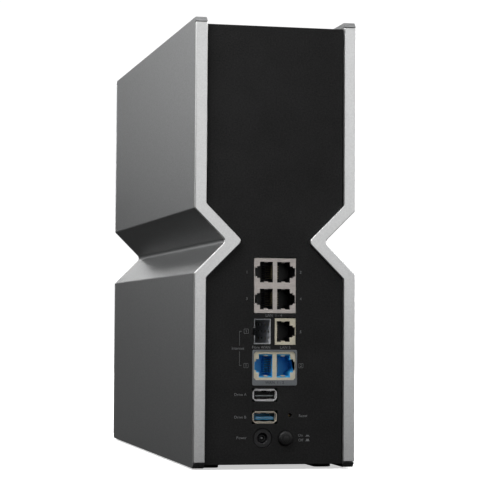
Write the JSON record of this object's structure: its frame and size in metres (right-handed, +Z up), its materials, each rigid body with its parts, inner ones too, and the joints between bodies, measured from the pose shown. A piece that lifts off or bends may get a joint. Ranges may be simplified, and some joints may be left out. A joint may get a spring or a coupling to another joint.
{
  "type": "tower wireless router",
  "caption": "Tower wireless router with an hourglass waist: grey side covers with silver edge trims round a black body, and stacked network, fibre, USB and power ports on its rear panel.",
  "frame": {"origin": "on the surface that the feet stand on, under the middle of the body's box", "axes": "+Z up, +Y towards the rear panel with the ports, -Y towards the display side, +X to the left when facing the rear panel"},
  "size_m": [0.096, 0.302, 0.2625],
  "materials": {
    "grey_paint": "satin metallic dark grey paint with a fine grain",
    "silver_paint": "satin silver paint",
    "black_plastic": "matte black with a fine texture",
    "inner_plastic": "plain moulded black",
    "gloss_lens": "polished smoked black",
    "rubber": "matte black",
    "jack_metal": "nickel-plated sheet, warm grey",
    "cage_metal": "plain plated sheet",
    "steel": "bright plated",
    "socket_black": "moulded black",
    "socket_blue": "moulded blue",
    "circuit_board": "green solder mask",
    "chip_black": "moulded black epoxy",
    "aluminium": "plain extruded",
    "display_glass": "dark polished display face",
    "flex_amber": "amber flexible circuit",
    "brass": "plain"
  },
  "bodies": {
    "chassis": {"side_cover_left": "grey_paint", "side_cover_right": "grey_paint", "rear_trim_left": "silver_paint", "rear_trim_right": "silver_paint", "front_trim_left": "silver_paint", "front_trim_right": "silver_paint", "side_frame_left": "inner_plastic", "side_frame_right": "inner_plastic", "rear_panel": "black_plastic", "front_lens": "gloss_lens", "front_bezel": "inner_plastic", "touch_display": "display_glass", "dot_display_board": "circuit_board", "front_flex_cable": "flex_amber", "top_grille": "black_plastic", "base_plate": "black_plastic", "lan_jack_shield": "jack_metal", "lan_jack_housing": "socket_black", "single_jack_shield": "jack_metal", "single_jack_housing": "socket_black", "wan_jack_shield": "jack_metal", "wan_jack_housing": "socket_blue", "fibre_cage": "cage_metal", "fibre_connector": "socket_black", "usb2_shell": "steel", "usb2_tongue": "socket_black", "usb3_shell": "steel", "usb3_tongue": "socket_blue", "inlet_body": "socket_black", "inlet_pin": "steel", "power_switch": "socket_black", "reset_switch": "socket_black", "main_board": "circuit_board", "port_board": "circuit_board", "board_link": "socket_black", "processor": "chip_black", "radio_shield_upper": "cage_metal", "radio_shield_lower": "cage_metal", "heatsink_lower": "aluminium", "heatsink_upper": "aluminium", "foot_front_left": "rubber", "base_screw_front_left": "steel", "antenna_front_left": "flex_amber", "foot_front_right": "rubber", "base_screw_front_right": "steel", "antenna_front_right": "flex_amber", "foot_rear_left": "rubber", "base_screw_rear_left": "steel", "antenna_rear_left": "flex_amber", "foot_rear_right": "rubber", "base_screw_rear_right": "steel", "antenna_rear_right": "flex_amber", "board_screw_1": "steel", "board_screw_2": "steel", "board_screw_3": "steel", "board_screw_4": "steel"},
    "power_key": {"power_button": "black_plastic"},
    "reset_key": {"reset_button": "brass"}
  },
  "joints": [
    {"name": "power_button_press", "type": "slide", "parent": "chassis", "child": "power_key", "axis": [0, -1, 0], "range_m": [0, 0.002], "stiffness_N_per_m": 600, "springref_m": -0.001},
    {"name": "reset_button_press", "type": "slide", "parent": "chassis", "child": "reset_key", "axis": [0, -1, 0], "range_m": [0, 0.0003], "stiffness_N_per_m": 1500, "springref_m": -0.0002}
  ]
}
